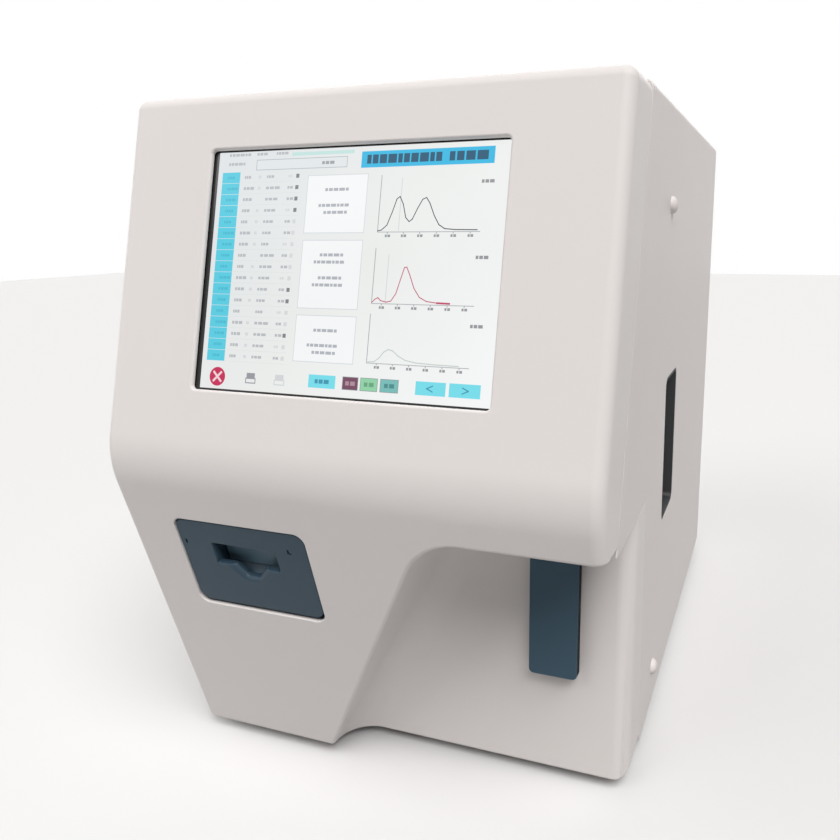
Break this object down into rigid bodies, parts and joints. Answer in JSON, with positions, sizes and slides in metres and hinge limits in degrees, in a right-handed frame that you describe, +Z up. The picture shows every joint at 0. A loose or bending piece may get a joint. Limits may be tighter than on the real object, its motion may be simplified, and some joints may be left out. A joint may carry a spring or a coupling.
{
  "type": "hematology analyzer",
  "caption": "Benchtop blood cell counter with a tilted touch screen, an open sampling bay with needle and start key, a roll printer and its fluid and electronic parts.",
  "frame": {"origin": "on the bench, under the middle of the object's box", "axes": "+X to the operator's right, +Y to the back, +Z up; the screen faces -Y"},
  "size_m": [0.364, 0.5642, 0.496],
  "materials": {
    "warm_white_shell": "fine textured moulding, satin",
    "warm_white_sheet": "fine textured powder coat",
    "zinc_sheet": "bright zinc plated sheet",
    "bright_steel": "ground steel",
    "slate_plastic": "satin slate blue moulding",
    "black_plastic": "fine textured black moulding",
    "grey_plastic": "satin grey moulding",
    "foot_rubber": "matt black rubber",
    "screen_face": "lit display under a satin touch panel",
    "clear_acrylic": "clear moulded acrylic",
    "thermal_paper": "smooth coated paper",
    "circuit_board": "green solder mask",
    "pinion_brass": "cut brass"
  },
  "bodies": {
    "housing": {"front_cover": "warm_white_shell", "wrap_cover": "warm_white_sheet", "rear_panel": "warm_white_sheet", "base_tray": "zinc_sheet", "center_wall": "zinc_sheet", "fluid_deck": "zinc_sheet", "grip_cup_left": "black_plastic", "grip_cup_right": "black_plastic", "foot_1": "foot_rubber", "foot_2": "foot_rubber", "foot_3": "foot_rubber", "foot_4": "foot_rubber", "side_screw_1": "warm_white_sheet", "side_screw_2": "warm_white_sheet", "side_screw_3": "warm_white_sheet", "side_screw_4": "warm_white_sheet", "touch_glass": "screen_face", "lcd_module": "zinc_sheet", "display_bracket": "zinc_sheet", "printer_cassette": "warm_white_shell", "feed_motor": "bright_steel", "print_head": "black_plastic", "key_switch": "black_plastic", "wash_block": "clear_acrylic", "lift_frame": "zinc_sheet", "guide_rod_left": "bright_steel", "guide_rod_right": "bright_steel", "lift_motor": "black_plastic", "white_cell_bath": "clear_acrylic", "red_cell_bath": "clear_acrylic", "valve_block": "grey_plastic", "syringe_frame": "zinc_sheet", "syringe_barrel": "clear_acrylic", "syringe_motor": "black_plastic", "waste_pump": "black_plastic", "main_board": "circuit_board", "power_supply": "zinc_sheet", "fan_frame": "black_plastic", "mains_inlet": "black_plastic", "data_sockets": "bright_steel", "port_plate": "grey_plastic"},
    "door": {"printer_door": "slate_plastic", "door_pin_left": "bright_steel", "door_pin_right": "bright_steel"},
    "latch": {"printer_latch": "slate_plastic"},
    "platen": {"platen_roller": "foot_rubber", "platen_gear": "grey_plastic"},
    "feed_shaft": {"feed_pinion": "pinion_brass"},
    "roll": {"paper_roll": "thermal_paper"},
    "key": {"start_key": "slate_plastic"},
    "needle": {"sample_needle": "bright_steel", "needle_carriage": "grey_plastic"},
    "needle_screw": {"lead_screw": "bright_steel"},
    "plunger": {"syringe_plunger": "grey_plastic"},
    "plunger_screw": {"syringe_screw": "bright_steel"},
    "fan": {"fan_rotor": "black_plastic"},
    "rocker": {"power_rocker": "black_plastic"}
  },
  "joints": [
    {"name": "door_hinge", "type": "hinge", "parent": "housing", "child": "door", "pos_m": [-0.08, -0.25436, 0.14825], "axis": [1, 0, 0], "range_deg": [0, 70]},
    {"name": "latch_swing", "type": "hinge", "parent": "door", "child": "latch", "pos_m": [-0.08, -0.25698, 0.1985], "axis": [-1, 0, 0], "range_deg": [0, 15], "stiffness_Nm_per_rad": 0.02, "springref_deg": -11.46},
    {"name": "platen_spin", "type": "hinge", "parent": "door", "child": "platen", "pos_m": [-0.08, -0.26026, 0.21016], "axis": [1, 0, 0], "continuous": true},
    {"name": "feed_spin", "type": "hinge", "parent": "housing", "child": "feed_shaft", "pos_m": [-0.044, -0.25294, 0.20564], "axis": [1, 0, 0], "continuous": true},
    {"name": "roll_spin", "type": "hinge", "parent": "housing", "child": "roll", "pos_m": [-0.08, -0.2283, 0.17496], "axis": [1, 0, 0], "continuous": true},
    {"name": "key_press", "type": "slide", "parent": "housing", "child": "key", "axis": [0, 0.9981, -0.061], "range_m": [0, 0.003], "stiffness_N_per_m": 400, "springref_m": -0.0015},
    {"name": "needle_lift", "type": "slide", "parent": "housing", "child": "needle", "axis": [0, 0, -1], "range_m": [0, 0.068]},
    {"name": "needle_screw_spin", "type": "hinge", "parent": "housing", "child": "needle_screw", "pos_m": [0.15, -0.1833, 0.33], "axis": [0, 0, 1], "range_deg": [0, 3065]},
    {"name": "plunger_slide", "type": "slide", "parent": "housing", "child": "plunger", "axis": [0, 0, -1], "range_m": [0, 0.045]},
    {"name": "plunger_screw_spin", "type": "hinge", "parent": "housing", "child": "plunger_screw", "pos_m": [0.062, -0.0033, 0.296], "axis": [0, 0, 1], "range_deg": [0, 2030]},
    {"name": "fan_spin", "type": "hinge", "parent": "housing", "child": "fan", "pos_m": [-0.095, 0.2527, 0.385], "axis": [0, -1, 0], "continuous": true},
    {"name": "rocker_tip", "type": "hinge", "parent": "housing", "child": "rocker", "pos_m": [-0.128, 0.2608, 0.0965], "axis": [-1, 0, 0], "range_deg": [0, 16]}
  ],
  "couplings": [
    {"joint": "feed_spin", "follows": "platen_spin", "ratio": -1.3333},
    {"joint": "needle_screw_spin", "follows": "needle_lift", "rad_per_m": 785.4},
    {"joint": "plunger_screw_spin", "follows": "plunger_slide", "rad_per_m": 785.4}
  ]
}
